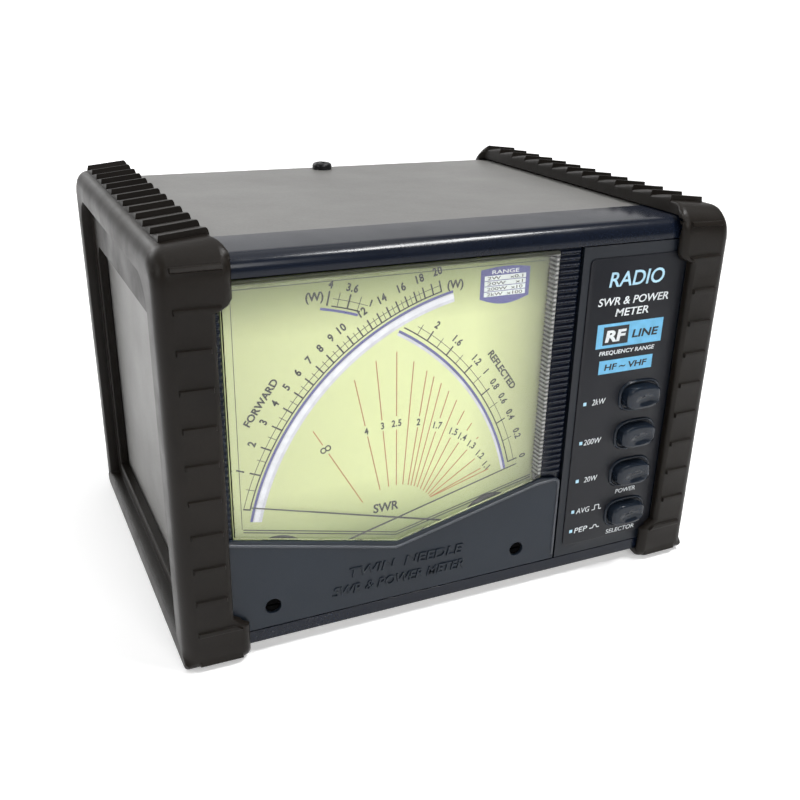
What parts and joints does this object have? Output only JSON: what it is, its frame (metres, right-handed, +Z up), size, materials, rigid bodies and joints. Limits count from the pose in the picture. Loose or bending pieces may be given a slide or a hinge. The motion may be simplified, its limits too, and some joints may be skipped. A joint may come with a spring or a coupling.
{
  "type": "swr and power meter",
  "caption": "Bench cross-needle standing-wave and power meter: steel case between rubber end bumpers, vee-bottomed meter window, push-button control panel, rear coaxial sockets.",
  "frame": {"origin": "centre of the footprint, on the surface that the bumpers stand on", "axes": "+Z up, +X to the right seen from the front, front faces -Y"},
  "size_m": [0.172, 0.1306, 0.12],
  "materials": {
    "bumper_rubber": "matt moulded rubber",
    "grey_paint": "fine textured grey paint",
    "plated_steel": "zinc plated sheet",
    "navy_moulding": "semi-gloss dark navy",
    "navy_cover": "satin dark navy",
    "clear_acrylic": "clear moulded window",
    "dial_paint": "matt yellow-green print ground",
    "pointer_black": "matt black",
    "button_plastic": "gloss",
    "black_plastic": "matt",
    "circuit_board": "green solder mask",
    "copper_coil": "bare copper",
    "silver_contact": "silver plate",
    "nickel_plate": "bright nickel plate",
    "white_insulator": "white",
    "ferrite": "dark grey sintered ferrite",
    "lamp_glass": "clear",
    "black_screw": "black oxide"
  },
  "bodies": {
    "root": {"antenna_contact": "silver_contact", "antenna_insulator": "white_insulator", "antenna_socket": "nickel_plate", "bumper_left": "bumper_rubber", "bumper_right": "bumper_rubber", "case_cover": "grey_paint", "chassis_tray": "plated_steel", "control_panel": "navy_cover", "coupler_board": "circuit_board", "coupler_box": "plated_steel", "coupler_lid": "plated_steel", "cover_screw": "black_screw", "current_toroid": "ferrite", "dial_lamp": "lamp_glass", "dial_plate": "dial_paint", "forward_magnet": "plated_steel", "front_bezel": "navy_moulding", "lamp_holder": "black_plastic", "line_conductor": "copper_coil", "main_board": "circuit_board", "meter_housing": "black_plastic", "meter_lens": "clear_acrylic", "meter_lower_cover": "navy_cover", "mode_switch": "black_plastic", "range_200w_switch": "black_plastic", "range_20w_switch": "black_plastic", "range_2kw_switch": "black_plastic", "rear_panel": "grey_paint", "rear_screw_1": "black_screw", "rear_screw_2": "black_screw", "rear_screw_3": "black_screw", "rear_screw_4": "black_screw", "reflected_magnet": "plated_steel", "supply_jack": "black_plastic", "switch_board": "circuit_board", "transmitter_contact": "silver_contact", "transmitter_insulator": "white_insulator", "transmitter_socket": "nickel_plate", "trim_strip_left": "navy_moulding", "trim_strip_right": "navy_moulding", "trimmer_body_1": "black_plastic", "trimmer_body_2": "black_plastic"},
    "forward_movement": {"forward_pointer": "pointer_black", "forward_coil": "copper_coil"},
    "reflected_movement": {"reflected_pointer": "pointer_black", "reflected_coil": "copper_coil"},
    "range_2kw_key": {"range_2kw_button": "button_plastic", "range_2kw_plunger": "white_insulator"},
    "range_200w_key": {"range_200w_button": "button_plastic", "range_200w_plunger": "white_insulator"},
    "range_20w_key": {"range_20w_button": "button_plastic", "range_20w_plunger": "white_insulator"},
    "mode_key": {"mode_button": "button_plastic", "mode_plunger": "white_insulator"},
    "zero_screw_forward": {"zero_adjuster_forward": "black_plastic"},
    "zero_screw_reflected": {"zero_adjuster_reflected": "black_plastic"},
    "trimmer_1": {"trimmer_rotor_1": "white_insulator"},
    "trimmer_2": {"trimmer_rotor_2": "white_insulator"}
  },
  "joints": [
    {"name": "forward_deflection", "type": "hinge", "parent": "root", "child": "forward_movement", "pos_m": [0.0107, -0.0587, 0.0243], "axis": [0, 1, 0], "range_deg": [0, 62], "stiffness_Nm_per_rad": 0.00004},
    {"name": "reflected_deflection", "type": "hinge", "parent": "root", "child": "reflected_movement", "pos_m": [-0.0576, -0.0597, 0.0243], "axis": [0, -1, 0], "range_deg": [0, 62], "stiffness_Nm_per_rad": 0.00004},
    {"name": "range_2kw_press", "type": "slide", "parent": "root", "child": "range_2kw_key", "axis": [0, 1, 0], "range_m": [0, 0.0025], "stiffness_N_per_m": 300},
    {"name": "range_200w_press", "type": "slide", "parent": "root", "child": "range_200w_key", "axis": [0, 1, 0], "range_m": [0, 0.0025], "stiffness_N_per_m": 300},
    {"name": "range_20w_press", "type": "slide", "parent": "root", "child": "range_20w_key", "axis": [0, 1, 0], "range_m": [0, 0.0025], "stiffness_N_per_m": 300},
    {"name": "mode_press", "type": "slide", "parent": "root", "child": "mode_key", "axis": [0, 1, 0], "range_m": [0, 0.0025], "stiffness_N_per_m": 300},
    {"name": "zero_turn_forward", "type": "hinge", "parent": "root", "child": "zero_screw_forward", "pos_m": [0.0198, -0.059, 0.014], "axis": [0, 1, 0], "range_deg": [-90, 90]},
    {"name": "zero_turn_reflected", "type": "hinge", "parent": "root", "child": "zero_screw_reflected", "pos_m": [-0.0598, -0.059, 0.014], "axis": [0, 1, 0], "range_deg": [-90, 90]},
    {"name": "trimmer_turn_1", "type": "hinge", "parent": "root", "child": "trimmer_1", "pos_m": [-0.0565, -0.014, 0.0149], "axis": [0, 0, 1], "range_deg": [-135, 135]},
    {"name": "trimmer_turn_2", "type": "hinge", "parent": "root", "child": "trimmer_2", "pos_m": [-0.0565, 0, 0.0149], "axis": [0, 0, 1], "range_deg": [-135, 135]}
  ]
}
